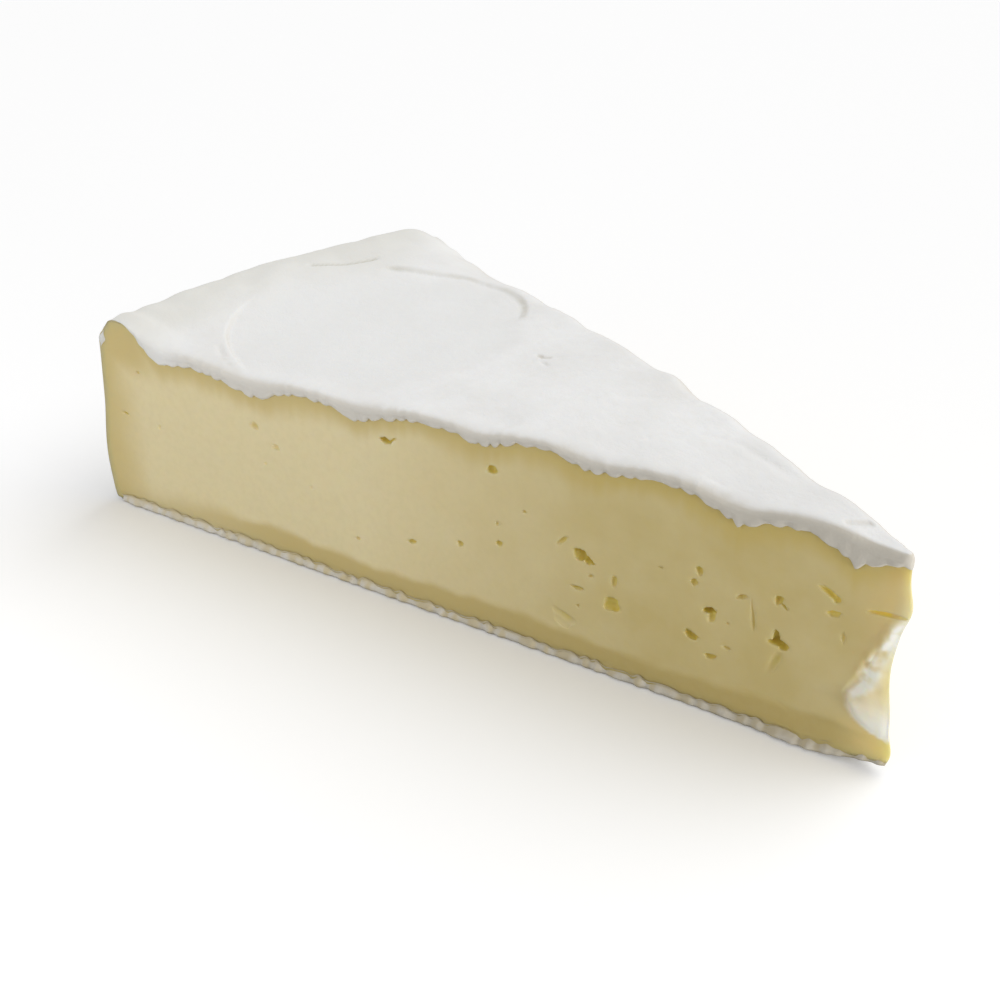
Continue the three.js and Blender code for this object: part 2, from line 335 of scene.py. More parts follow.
def under_rind(u, a):
    """How far the paste lies below the rind's surface: deep behind a lip, close under it by the rim."""
    by_rim = smooth(u, 119.5, 124.8)
    at_cut = smooth(abs(a), mix(0.93, 0.985, by_rim) * half_angle, half_angle) * smooth(u, 3, 30)
    return 0.7 * rind_thickness + at_cut * mix(0.5, -0.57, by_rim)


sections = []
tip_length, even_stations = 7, 225
places = stations(36, tip_length, 1)[:-1]
places += [mix(tip_length, shoulder, i / even_stations) for i in range(even_stations + 1)]
for u in places:

    def low(a, u=u):
        foot = u * (wheel_radius + 0.5 - under_rind(u, a)) / shoulder
        return foot, paste_foot + tip_lift * (1 - smooth(u, 0, tip_lift_length))

    def high(a, u=u):
        return u, top_height(u, a) - under_rind(u, a)

    sections.append(paste_section(u, low, high))
end_stations = 24
for i in range(1, end_stations + 1):
    share = i / end_stations

    def low(a, share=share):
        z = mix(paste_foot, belt_height, share)
        return rim_radius(z, rim_height) - under_rind(shoulder, a), z

    def high(a, share=share):
        top = top_height(shoulder, a)
        r, z, normal = rim_surface(mix(top, belt_height, share**1.9), top, a)
        deep = under_rind(shoulder, a)
        return r - deep * normal[0], z - deep * normal[1]

    sections.append(paste_section(mix(shoulder, wheel_radius, share), low, high))
paste = wrap("paste", sections)

# Eyes: the small ragged holes that gas leaves in the paste, opened by the knife. They are few by the
# rim and many towards the tip. Each is a lump set into the cut: [u, z], half length, half width,
# slope in degrees, depth.
front_eyes = (
    (43.5, 17.6, 1.0, 0.95, 10, 1.5),
    (42.4, 17.1, 1.2, 0.6, 24, 1.4),
    (46.3, 18.8, 1.2, 0.6, -48, 0.3),
    (41.8, 14.8, 0.5, 0.25, -20, 0.35),
    (38.5, 11.4, 1.15, 1.1, 0, 0.8),
    (38.3, 15.1, 0.55, 0.85, 0, 0.5),
    (46.0, 6.9, 2.2, 1.3, 22, 0.3),
    (43.8, 12.3, 1.1, 0.3, 0, 0.5),
    (43.6, 9.5, 0.2, 0.45, 0, 0.3),
    (57.2, 26.3, 0.9, 0.75, -10, 0.75),
    (52.1, 21.4, 0.35, 0.25, 0, 0.4),
    (56.4, 18.2, 0.4, 0.35, 0, 0.35),
    (62.4, 13.1, 0.55, 0.5, 0, 0.6),
    (56.1, 15.2, 0.6, 0.5, -20, 0.6),
    (74.6, 25.8, 0.95, 0.6, 5, 0.9),
    (73.3, 26.3, 0.7, 0.25, -35, 0.4),
    (98.3, 21.6, 0.9, 0.7, 15, 0.45),
    (94.6, 19.2, 1.0, 0.4, 0, 0.3),
    (96.8, 15.8, 0.45, 0.25, 10, 0.25),
    (88.5, 14.2, 0.5, 0.4, 20, 0.25),
    (70.6, 10.8, 0.8, 0.45, -15, 0.6),
    (80.3, 8.2, 0.4, 0.35, 0, 0.4),
    (120.9, 24.6, 0.45, 0.3, 10, 0.3),
    (124.7, 16.7, 0.8, 0.2, 12, 0.4),
    (117.7, 16.1, 0.6, 0.45, 0, 0.25),
    (26.4, 20.8, 0.5, 0.75, -20, 0.7),
    (27.0, 18.9, 0.6, 0.6, 0, 0.6),
    (31.8, 19.5, 0.4, 0.15, 0, 0.3),
    (24.6, 15.4, 0.95, 0.55, -10, 1.5),
    (24.2, 14.7, 0.5, 1.0, 5, 0.6),
    (26.9, 10.9, 1.15, 0.55, 20, 1.0),
    (24.0, 8.6, 0.9, 0.45, -10, 0.9),
    (21.9, 10.7, 0.65, 0.25, 10, 0.4),
    (22.0, 14.4, 0.25, 0.2, 0, 0.3),
    (15.1, 13.9, 1.35, 0.6, 0, 1.6),
    (15.4, 14.8, 0.45, 1.0, 0, 1.3),
    (14.4, 13.7, 0.65, 0.6, 0, 1.2),
    (15.4, 10.9, 0.75, 2.1, 22, 0.3),
    (15.6, 20.2, 0.55, 0.85, 20, 0.8),
    (14.8, 19.5, 0.6, 0.25, 40, 0.5),
    (20.4, 19.0, 0.8, 0.45, -25, 0.45),
    (18.7, 16.6, 0.25, 2.7, -9, 0.35),
    (9.3, 23.5, 1.7, 0.45, 28, 0.4),
    (8.2, 22.8, 0.5, 0.5, 40, 0.5),
    (8.5, 20.8, 1.0, 0.5, -15, 0.4),
    (6.9, 17.8, 0.3, 1.1, -5, 0.2),
    (2.6, 23.0, 2.3, 0.5, -8, 0.2),
)


def eye_lump(u, z, length, width, slope, depth, side, number):
    """A lumpy ball set into a cut, which the Boolean takes out of the paste."""
    thickness = max(depth, 0.6)
    bpy.ops.mesh.primitive_ico_sphere_add(subdivisions=4 if length > 0.9 else 3, radius=1)
    lump = bpy.context.object
    turn = Euler((0, math.radians(slope), 0)).to_matrix()
    turn = Euler((0, 0, -side * half_angle)).to_matrix() @ turn
    centre = Vector(placed(u, side * half_angle, z, thickness - depth))
    for vertex in lump.data.vertices:
        p = vertex.co
        bump = math.sin(3.1 * p.x + number) * math.sin(2.7 * p.y + 2 * number) + math.sin(4.3 * p.z + number)
        p = p * (1 + 0.13 * bump + 0.22 * grain(p.x + 7 * number, p.y, p.z, 0.6))
        vertex.co = centre + turn @ Vector((p.x * length, p.y * thickness, p.z * width)) * mm
    return lump


bpy.ops.object.select_all(action="DESELECT")
hollows = bpy.data.collections.new("hollows")
bpy.context.scene.collection.children.link(hollows)
lumps = [eye_lump(*eye, -1, i) for i, eye in enumerate(front_eyes)]
draw = random.Random(1207)
back_eyes = 30
for number in range(back_eyes):
    u = 10 + 100 * draw.random() ** 1.7
    size = 0.4 + 1.2 * draw.random() ** 2
    z, width = 8 + 17 * draw.random(), size * (0.4 + 0.5 * draw.random())
    lumps.append(eye_lump(u, z, size, width, 60 * draw.random() - 30, 0.55 * size + 0.3, 1, number + 60))

for lump in lumps:
    for old in lump.users_collection:
        old.objects.unlink(lump)
    hollows.objects.link(lump)
cutter = paste.modifiers.new("eyes", "BOOLEAN")
cutter.operation = "DIFFERENCE"
cutter.operand_type = "COLLECTION"
cutter.collection = hollows
cutter.solver = "EXACT"
bpy.ops.object.select_all(action="DESELECT")
bpy.context.view_layer.objects.active = paste
paste.select_set(True)
bpy.ops.object.modifier_apply(modifier="eyes")
for lump in lumps:
    bpy.data.objects.remove(lump)
bpy.data.collections.remove(hollows)


def front_level(u, z, side):
    """How far a cut stands out of its plane where it has no eye."""
    return (cut_out(u, z, side) + blade_swell * bell(u, 0, blade_reach)) * nose(u)


def cut_place(point):
    """A point by its cut's side, its distance along the cut, its height and how far out it is."""
    x, y, z = point.x / mm - tip_x, point.y / mm, point.z / mm
    side = -1 if y < 0 else 1
    u = max(-x * math.cos(half_angle) + side * y * math.sin(half_angle), 0)
    return side, u, z, (x - tip_bulge(u, z)) * math.sin(half_angle) + side * y * math.cos(half_angle)


# The mouths of the eyes and the tear are smoothed, as soft paste has no sharp edges there. The first
# selection is the hollows of the eyes and a ring round each, the second is the tear.
bpy.ops.object.mode_set(mode="EDIT")
bpy.ops.mesh.select_mode(type="VERT")
bpy.ops.mesh.select_all(action="DESELECT")
bpy.ops.object.mode_set(mode="OBJECT")
for vertex in paste.data.vertices:
    side, u, z, out = cut_place(vertex.co)
    hollow = front_level(u, z, side) - out
    in_tear = side < 0 and tear_reach(z) + 1 > u
    vertex.select = 0.05 < hollow < 2.2 and 2 < u < 127 and 5 < z < 29 and not in_tear
bpy.ops.object.mode_set(mode="EDIT")
bpy.ops.mesh.select_more()
bpy.ops.mesh.vertices_smooth(factor=0.5, repeat=6)
bpy.ops.mesh.select_all(action="DESELECT")
bpy.ops.object.mode_set(mode="OBJECT")
for vertex in paste.data.vertices:
    side, u, z, out = cut_place(vertex.co)
    vertex.select = side < 0 and 0.3 < u < tear_reach(z) + 1.5
bpy.ops.object.mode_set(mode="EDIT")
bpy.ops.mesh.vertices_smooth(factor=0.5, repeat=4)
bpy.ops.object.mode_set(mode="OBJECT")

# How ripe the paste is at each point, and how deep it lies in an eye: both colour it. It ripens from
# the rind inwards, so it is yellower under the lips, along the bottom band and by the rim.
edge_round = 1.2
front_hangs = (1.8, 1.8, 1.7, 0.45, 0.6, 1.4, 1.15, 1.0, 1.0)
back_hangs = (1.2, 1.2, 1.0, 1.2, 1.5, 0.9, 1.3, 0.8, 1.2, 1.0, 1.0)
lip_height, rim_drag = 0.45, 0.7
lobe_pitch, lobe_height = 2.5, 0.75


def lip_fade(u):
    """1 where the lips hang in full, 0 at the rim, where the rind ends in a bare edge."""
    return 1 - smooth(u, 117, 124)


def lobes(u, side, pitch):
    """The ragged lower edge of a lip: 1 at a lobe, 0 at a notch."""
    uneven = 0.18 * math.sin(0.9 * u + side) + 0.3 * math.sin(0.37 * u + 2 * side)
    wave = abs(math.sin(math.pi * (u / pitch + uneven)))
    return (wave + wave * wave) / 2


def lip_drop(side, u):
    """How far a lip hangs below the top face."""
    lows, hangs = (front_lows, front_hangs) if side < 0 else (back_lows, back_hangs)
    after, share = scallop(lows, u)
    hang = hangs[after if share > 0.5 else after - 1] * (1 - math.sin(math.pi * share) ** 0.55)
    hang += lip_height + rim_drag * smooth(u, 84, 104) + tip_swell(u)
    ragged = 0.85 * lobes(u, side, lobe_pitch) + 0.15 * lobes(u, side + 5, 0.42 * lobe_pitch) - 0.5
    ragged *= lobe_height * (0.7 + 0.8 * grain(u, 9 * side, 0, 5))
    ragged += 0.25 * grain(u, 30 * side, 0, 2.6)
    return mix(0.15, edge_round + hang + ragged, lip_fade(u)) - tip_drop(u)


marks = {name: [] for name in ("ripe", "honey", "lining", "torn", "curds_and_painted_ledge_light", "painted_glow")}
for vertex in paste.data.vertices:
    side, u, z, out = cut_place(vertex.co)
    lip = top_height(min(u, shoulder), side * half_angle) - lip_drop(side, min(u, 130))
    reach = 3.2 + 1.3 * grain(u, side * 50, 0, 9) + 0.6 * grain(u, side * 50, 4, 2.5)
    fuzz = band_fuzz(u)
    low_band = 1 - smooth(z + 0.25 * grain(u, side * 20, z, 2), band_top(u) - fuzz, band_top(u) + fuzz)
    near_rim = smooth(u + 1.5 * grain(u, side, z, 6), 120, 128.5)
    near_rim = max(near_rim, smooth(u, 114, 122) * smooth(z, 22, 27))
    marks["ripe"].append(low_band * mix(1, 0.6, smooth(u, 90, 115)))
    marks["honey"].append(max(1 - smooth(lip - z, 0.2 * reach, 1.35 * reach), near_rim))
    into = tear_reach(z) - u if side < 0 else -5
    torn = max(smooth(into, -0.5, 0.6), 0.9 * (1 - smooth(u, 0.2, 1.8)) * bell(z, 23, 5))
    marks["torn"].append(torn)
    # Painted light: beside the white curd lumps, the ledge low in the tear is painted a bright cream that
    # stands in for the light falling on it.
    marks["curds_and_painted_ledge_light"].append(max(1.6 * curds(u, z, into), bell(z, 6.5, 3.5)) * torn)
    hollow = smooth(front_level(u, z, side) - out, 0.04, 0.5)
    marks["lining"].append(hollow * (1 - smooth(torn, 0, 0.1)) * smooth(128 - u, 0, 1))
    # Painted light: a brighter yellow by the thin tip, above and below the tear, stands in for light shining
    # through the thin paste.
    marks["painted_glow"].append(bell(u, 1, 4) * max(bell(z, 4, 3), 0.45 * bell(z, 24.5, 4)) * (1 - torn))
for name, values in marks.items():
    paste.data.attributes.new(name, "FLOAT", "POINT").data.foreach_set("value", values)


def mottle_group():
    """Soft blotches at a size, with smaller ones in them, for the paste and both rinds."""
    group = bpy.data.node_groups.new("mottle", "ShaderNodeTree")
    group.interface.new_socket("Vector", in_out="INPUT", socket_type="NodeSocketVector")
    group.interface.new_socket("Scale", in_out="INPUT", socket_type="NodeSocketFloat")
    group.interface.new_socket("Blotch", in_out="OUTPUT", socket_type="NodeSocketFloat")
    group.interface.new_socket("Fleck", in_out="OUTPUT", socket_type="NodeSocketFloat")
    nodes, links = group.nodes, group.links
    inside, outside = nodes.new("NodeGroupInput"), nodes.new("NodeGroupOutput")
    blotch = nodes.new("ShaderNodeTexNoise")
    blotch.inputs["Detail"].default_value = 4
    blotch.inputs["Roughness"].default_value = 0.55
    links.new(inside.outputs["Vector"], blotch.inputs["Vector"])
    links.new(inside.outputs["Scale"], blotch.inputs["Scale"])
    finer = nodes.new("ShaderNodeMath")
    finer.operation = "MULTIPLY"
    finer.inputs[1].default_value = 9
    links.new(inside.outputs["Scale"], finer.inputs[0])
    fleck = nodes.new("ShaderNodeTexNoise")
    fleck.inputs["Detail"].default_value = 3
    links.new(inside.outputs["Vector"], fleck.inputs["Vector"])
    links.new(finer.outputs[0], fleck.inputs["Scale"])
    links.new(blotch.outputs["Fac"], outside.inputs["Blotch"])
    links.new(fleck.outputs["Fac"], outside.inputs["Fleck"])
    return group


mottle = mottle_group()


class Finish:
    """A material, and the few kinds of node that the cheese's finishes are put together from."""

    def __init__(self, name):
        self.material = bpy.data.materials.new(name)
        self.material.use_nodes = True
        self.nodes, self.links = self.material.node_tree.nodes, self.material.node_tree.links
        self.shader = self.nodes["Principled BSDF"]
        self.place = self.nodes.new("ShaderNodeTexCoord").outputs["Object"]

    def mottled(self, scale):
        node = self.nodes.new("ShaderNodeGroup")
        node.node_tree = mottle
        node.inputs["Scale"].default_value = scale
        self.links.new(self.place, node.inputs["Vector"])
        return node.outputs

    def remap(self, value, low, high, to_low=0, to_high=1):
        node = self.nodes.new("ShaderNodeMapRange")
        node.inputs["From Min"].default_value, node.inputs["From Max"].default_value = low, high
        node.inputs["To Min"].default_value, node.inputs["To Max"].default_value = to_low, to_high
        self.links.new(value, node.inputs["Value"])
        return node.outputs["Result"]

    def attribute(self, name):
        node = self.nodes.new("ShaderNodeAttribute")
        node.attribute_name = name
        return node.outputs["Fac"]

    def math(self, operation, a, b):
        node = self.nodes.new("ShaderNodeMath")
        node.operation = operation
        for socket, value in zip(node.inputs, (a, b)):
            if isinstance(value, (int, float)):
                socket.default_value = value
            else:
                self.links.new(value, socket)
        return node.outputs[0]

    def blend(self, share, a, b, kind="MIX"):
        node = self.nodes.new("ShaderNodeMix")
        node.data_type, node.blend_type = "RGBA", kind
        for socket, value in zip((node.inputs["Factor"], node.inputs[6], node.inputs[7]), (share, a, b)):
            if isinstance(value, (int, float)):
                socket.default_value = value
            elif isinstance(value, tuple):
                socket.default_value = (*value, 1)
            else:
                self.links.new(value, socket)
        return node.outputs[2]

    def bump(self, height, distance, strength=1.0):
        node = self.nodes.new("ShaderNodeBump")
        node.inputs["Distance"].default_value = distance * mm
        node.inputs["Strength"].default_value = strength
        self.links.new(height, node.inputs["Height"])
        self.links.new(node.outputs["Normal"], self.shader.inputs["Normal"])

    def set(self, **values):
        for name, value in values.items():
            self.shader.inputs[name.replace("_", " ")].default_value = value


paste_finish = Finish("paste")
separate = paste_finish.nodes.new("ShaderNodeSeparateXYZ")
paste_finish.links.new(paste_finish.place, separate.inputs[0])
# Darker and yellower towards the tip: partly the paste's own yellower colour there, partly painted shade
# where less light reaches the front cut. The honey and ripe colours follow the same gradient.
along = paste_finish.remap(separate.outputs["X"], -0.012, 0.03)
blotches = paste_finish.mottled(110)
body = paste_finish.blend(along, (0.90, 0.78, 0.475), (0.69, 0.56, 0.243))
pale = paste_finish.remap(blotches["Blotch"], 0.35, 0.68, 0, 0.35)
body = paste_finish.blend(pale, body, (0.84, 0.74, 0.45))
honey = paste_finish.blend(along, (0.745, 0.595, 0.262), (0.68, 0.53, 0.18))
body = paste_finish.blend(paste_finish.attribute("honey"), body, honey)
ripened = paste_finish.blend(along, (0.685, 0.545, 0.235), (0.60, 0.47, 0.18))
body = paste_finish.blend(paste_finish.attribute("ripe"), body, ripened)
flecks = paste_finish.remap(blotches["Fleck"], 0.4, 0.7, 0, 0.12)
body = paste_finish.blend(flecks, body, (0.66, 0.56, 0.28))
# Painted glow: the brighter yellow at the thin tip stands in for light shining through the paste there.
body = paste_finish.blend(paste_finish.attribute("painted_glow"), body, (0.86, 0.71, 0.30))
lit = paste_finish.remap(separate.outputs["X"], 0.05, 0.058)
lining = paste_finish.blend(lit, (0.74, 0.61, 0.15), (0.84, 0.70, 0.15))
body = paste_finish.blend(paste_finish.attribute("lining"), body, lining)
body = paste_finish.blend(paste_finish.attribute("torn"), body, (0.77, 0.665, 0.37))
# The white curd lumps, and painted light on the ledge low in the tear: a bright cream where the light falls
# on it.
body = paste_finish.blend(paste_finish.attribute("curds_and_painted_ledge_light"), body, (0.97, 0.945, 0.85))
paste_finish.links.new(body, paste_finish.shader.inputs["Base Color"])
dryness = paste_finish.remap(blotches["Blotch"], 0.3, 0.7, 0.42, 0.58)
paste_finish.links.new(dryness, paste_finish.shader.inputs["Roughness"])
paste_finish.set(Subsurface_Weight=0.5, Subsurface_Radius=(1, 0.8, 0.4), Subsurface_Scale=2.5 * mm, IOR=1.42)
paste_finish.bump(paste_finish.mottled(160)["Fleck"], 0.03)
paste.data.materials.clear()
paste.data.materials.append(paste_finish.material)
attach(paste, "root")
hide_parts("brie_wedge")

# The top rind: a soft white skin of mould over the top and the rim, which the knife dragged down over
# both cuts in scalloped lips with a ragged edge. It is thin, creased and faintly furrowed.
lip_out, lip_widening = 0.74, 0.7
skin_inset = 0.03
set_back = 0.6
across_steps, inner_steps = 118, 12
tuck_rows, face_rows, roll_rows = 4, 9, 8
tab_height = 28.7


# Creases in the top rind: the points that each runs through, its depth and its half width.
creases = (
    ([(-68.3, 6.3), (-67.1, 6.1), (-66.4, 6.8)], 0.4, 0.3),
    ([(-66.4, 6.8), (-63.5, 9.6)], 0.12, 0.6),
    ([(-65.9, 4.8), (-64.8, 4.5)], 0.2, 0.4),
    ([(-49.2, 3.5), (-45, 7.2), (-42.6, 9.9)], 0.14, 0.8),
    ([(-38.1, -3.1), (-34.5, 2.5), (-29.7, 4.6), (-20.9, 3.7)], 0.18, 0.9),
    ([(-25.9, -5.3), (-25.0, -5.0)], 0.16, 1.0),
    ([(-8.4, -0.9), (-6.9, 1.0)], 0.3, 0.6),
    ([(-59.7, -12.4), (-58.2, -11.0), (-55.5, -11.6)], 0.2, 1.6),
    ([(-64.9, -11.0), (-61.5, -9.3)], 0.12, 1.3),
    ([(-120.1, 4.6), (-117.7, 9.7), (-116.0, 14.8)], 0.45, 0.42),
    ([(-105.7, -23.4), (-102.4, -25.1), (-99.3, -25.6), (-96.4, -25.6)], 0.26, 0.5),
)


def crease_depth(x, y):
    """How deep the creases lie at a point of the top."""
    depth = 0
    for path, deepest, width in creases:
        reach = 4 * width
        if not min(p[0] for p in path) - reach < x < max(p[0] for p in path) + reach:
            continue
        for k, (start, end) in enumerate(zip(path, path[1:])):
            along = Vector(end) - Vector(start)
            share = (Vector((x, y)) - Vector(start)).dot(along) / along.length_squared
            near = Vector(start) + along * min(max(share, 0), 1)
            away = (Vector((x, y)) - near).length
            taper = 1 if 0 < k < len(path) - 2 else 0.85
            depth = max(depth, taper * deepest * bell(away, 0, width))
    return depth


def skin_relief(x, y, z):
    """Down of the mould: a fine relief that only lowers the skin."""
    return 0.05 + 0.05 * grain(x, y, z, 3.2) + 0.035 * grain(x, y, z, 1.1) + 0.02 * grain(x, y, z, 0.55)


def lip_profile(u, side, total, stand, tab):
    """A lip from its ragged lower edge up to where it meets the top: [out, drop] for each row."""
    plump = smooth(u, 70, 115)
    tuck = min(0.42, 0.3 * total)
    wide = lip_widening if side < 0 else 0
    uneven = 0.25 * grain(u, side * 41, 0, 4)
    roll = min(mix(0.8, 1.2, plump) + 0.6 * wide + uneven, 0.6 * total) * (1 - 0.92 * tab)
    inset = min(mix(1.1, 2.0, plump) + wide, 0.35 * u * half_angle)
    lobe = lobes(u, side, lobe_pitch)
    rows = []
    for i in range(tuck_rows):
        turn = math.pi / 2 * (1 - i / tuck_rows)
        out = stand - tuck * (1 - math.cos(turn)) - 0.15 * math.sin(turn)
        rows.append((out, total - tuck * (1 - math.sin(turn))))
    for i in range(face_rows):
        share = i / face_rows
        drop = mix(total - tuck, roll, share)
        swell = 0.18 * (lobe - 0.5) * (1 - share) + 0.16 * grain(u, side * 15, drop, 1.8)
        swell += 0.07 * grain(u, side, drop, 0.7)
        rows.append((stand + swell * min(total / 2, 2 / total), drop))
    for i in range(roll_rows):
        turn = math.pi / 2 * i / roll_rows
        rows.append((stand - (stand + inset) * (1 - math.cos(turn)), roll * (1 - math.sin(turn))))
    return rows, inset


def rind_section(u, surface, fade, turned=0):
    """The front lip from its edge up, across the top, down the back lip, and back inside the skin."""
    lips, edges = [], []
    for side in (-1, 1):
        total, tab = mix(lip_drop(-1, min(u, 130)), lip_drop(side, min(u, 130)), smooth(u, 0, 4)), 0
        _, edge_z, _ = surface(side * half_angle)
        if turned:
            tab = bell(edge_z, tab_height, 1.1) if side < 0 else 0
            bare = 0.12 + 0.1 * abs(grain(edge_z, side, 0, 2))
            total = mix(total, bare + 1.5 * tab, smooth(turned, 0, 0.05))
        lobe_side = mix(-1, side, smooth(u, 0, 4))
        rows, inset = lip_profile(u, lobe_side, total, mix(-skin_inset, lip_out, fade) + 0.12 * tab, tab)
        lips.append([skin_point(u, side, surface, out, drop) for out, drop in rows])
        low_inside = skin_point(u, side, surface, -0.25, 0.8 * total, set_back)
        high_inside = skin_point(u, side, surface, -0.8 * inset, rind_thickness, set_back)
        lips.append([low_inside, high_inside])
        edges.append(side * half_angle * (1 - inset / max(u * half_angle, 0.001) if u > 0 else 0.65))
    loop = lips[0]
    for step in range(across_steps + 1):
        a = mix(edges[0], edges[1], step / across_steps)
        r, z, normal = surface(a)
        loop.append(skin_place(r, a, z, normal, 0))
    loop += lips[2][::-1] + lips[3]
    for step in range(1, inner_steps):
        a = mix(edges[1], edges[0], step / inner_steps)
        r, z, normal = surface(a)
        loop.append(skin_place(r, a, z, normal, rind_thickness, set_back))
    return loop + lips[1][::-1]


def skin_place(r, a, z, normal, deep, behind=0):
    """A point of the skin, or of its inner side at a depth, which is set back behind the nose."""
    r, z = r - deep * normal[0], z - deep * normal[1]
    x, y = -r * math.cos(a), r * math.sin(a)
    if deep == 0:
        lower = skin_relief(x, y, z) * nose(r) + crease_depth(x, y) * normal[1]
        r, z = r - lower * normal[0], z - lower * normal[1]
    point = placed(r, a, z)
    return (point[0] - behind * bell(r, 0, 1.5) * mm, point[1], point[2])


def skin_point(u, side, surface, out, drop, behind=0):
    """A point of a lip: out of the cut, and a drop below the skin's surface there."""
    a = side * (half_angle - (min(-out, 0.6 * u * half_angle) / u if out < 0 and u > 0 else 0))
    r, z, normal = surface(a)
    lower = 0 if behind else skin_relief(-r * math.cos(a), r * math.sin(a), z - drop) * nose(r)
    r, z = r - (drop + lower) * normal[0], z - (drop + lower) * normal[1]
    point = placed(r, side * half_angle, z, out * nose(u) if out > 0 else 0) if out >= 0 else placed(r, a, z)
    return (point[0] - behind * bell(r, 0, 1.5) * mm, point[1], point[2])


sections = []
for u in stations(400, shoulder, 1.03):

    def surface(a, u=u):
        return u, top_height(u, a), (0, 1)

    sections.append(rind_section(u, surface, lip_fade(u)))
rim_stations = 60
for i in range(1, rim_stations + 1):
    share = i / rim_stations

    def surface(a, share=share):
        top = top_height(shoulder, a)
        return rim_surface(top * (1 - share**1.7), top, a)

    sections.append(rind_section(shoulder, surface, 0, share))
top_rind = wrap("top_rind", sections)
marks = {name: [] for name in ("hang", "greyer_by_rim", "painted_crease_shade", "painted_crescent_highlight", "pressed")}
for vertex in top_rind.data.vertices:
    x, y, z = vertex.co.x / mm - tip_x, vertex.co.y / mm, vertex.co.z / mm
    r = math.hypot(x, y)
    # Painted shade: hang is 1 where the skin turns down from the top, on the lips' faces, which are painted
    # grey as if in shade.
    marks["hang"].append(smooth(1 - vertex.normal.z, 0.005, 0.2) * (1 - smooth(r, 108, 118)))
    # Greyer and warmer towards the rim.
    marks["greyer_by_rim"].append(smooth(r + 4 * grain(x, y, z, 9), 110, 124))
    beyond, turn = label_place(x, y)
    # Painted shade: the creases and the groove by the label's far edge are painted darker, standing in for
    # the shade that lies in them.
    groove = label_groove(beyond, turn) * (0.5 + 0.4 * grain(x, y, 0, 1.5))
    marks["painted_crease_shade"].append(max(smooth(crease_depth(x, y), 0.15, 0.5), groove) * smooth(z, 25, 27))
    # Painted highlight: a near-white line along the label's sharp crescent edge, where the light catches it.
    marks["painted_crescent_highlight"].append(0.55 * bell(beyond, -0.15, 0.32) * label_crescent(turn))
    marks["pressed"].append(1 - smooth(beyond, -6, 1))
for name, values in marks.items():
    top_rind.data.attributes.new(name, "FLOAT", "POINT").data.foreach_set("value", values)

rind_finish = Finish("white_rind")
patches = rind_finish.mottled(70)
patchy = rind_finish.remap(patches["Blotch"], 0.35, 0.65)
white = rind_finish.blend(patchy, (0.875, 0.867, 0.845), (0.945, 0.942, 0.93))
flecks = rind_finish.remap(patches["Fleck"], 0.55, 0.75, 0, 0.18)
white = rind_finish.blend(flecks, white, (0.84, 0.81, 0.73))
white = rind_finish.blend(rind_finish.attribute("greyer_by_rim"), white, (0.83, 0.82, 0.77))
separate = rind_finish.nodes.new("ShaderNodeSeparateXYZ")
rind_finish.links.new(rind_finish.place, separate.inputs[0])
# Painted shade: the skin is greyer towards the tip, standing in for the shade on the lips there.
near_tip = rind_finish.remap(separate.outputs["X"], 0.025, 0.06, 0, 0.8)
white = rind_finish.blend(near_tip, white, (0.86, 0.855, 0.84))
pressed = rind_finish.math("MULTIPLY", rind_finish.attribute("pressed"), 0.75)
white = rind_finish.blend(pressed, white, (0.89, 0.89, 0.875))
# Painted highlight on the label's crescent edge.
white = rind_finish.blend(rind_finish.attribute("painted_crescent_highlight"), white, (0.99, 0.99, 0.98))
# Painted shade in the creases and the label's groove.
white = rind_finish.blend(rind_finish.attribute("painted_crease_shade"), white, (0.62, 0.60, 0.50))
# Painted shade on the lips: a grey on their faces, darker towards the tip, stands in for the shade that
# falls there.
towards_tip = rind_finish.remap(separate.outputs["X"], -0.06, 0.06)
painted_lip_shade = rind_finish.blend(towards_tip, (0.82, 0.79, 0.73), (0.63, 0.59, 0.51))
white = rind_finish.blend(rind_finish.attribute("hang"), white, painted_lip_shade)
rind_finish.links.new(white, rind_finish.shader.inputs["Base Color"])
rind_finish.set(Roughness=0.88, Sheen_Weight=0.15, Sheen_Roughness=0.5, IOR=1.35)
rind_finish.set(Subsurface_Weight=0.12, Subsurface_Radius=(1, 0.85, 0.7), Subsurface_Scale=1.0 * mm)
rind_finish.bump(rind_finish.mottled(300)["Fleck"], 0.05)
top_rind.data.materials.append(rind_finish.material)
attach(top_rind, "root")

# The bottom rind: the skin that the wheel ripened on, pressed flat and thin by its weight. At the cuts
# the knife rolled it up into a bumpy bead, stained by the ripe paste.
bead_rows, knob_pitch = 9, 2.9
bead_root = 0.3
base_thickness, base_steps, inside_steps = 0.9, 24, 8


def knobs(u, side):
    """The row of soft knobs along a bead: 1 on a knob, 0 between two."""
    phase = 2 * math.pi * u / knob_pitch + 1.6 * math.sin(0.8 * u + side) + 1.2 * math.sin(0.31 * u)
    return (1 + math.sin(phase)) / 2


def bead(u, side):
    """Height and overhang of the bead at a cut."""
    knob = knobs(u, side)
    tall = 1.4 + 0.4 * knob + 0.4 * grain(u, side * 11, 0, 3) + 0.2 * grain(u, side * 13, 3, 0.9)
    over = 0.35 + 0.25 * knob + 0.2 * grain(u, side * 17, 7, 1.7) + 0.17 * grain(u, side * 19, 9, 0.8)
    over += 0.6 * bell(u, 11, 5) * (side < 0)
    return tall, over * mix(1, 0.3, smooth(u, 122, 127))


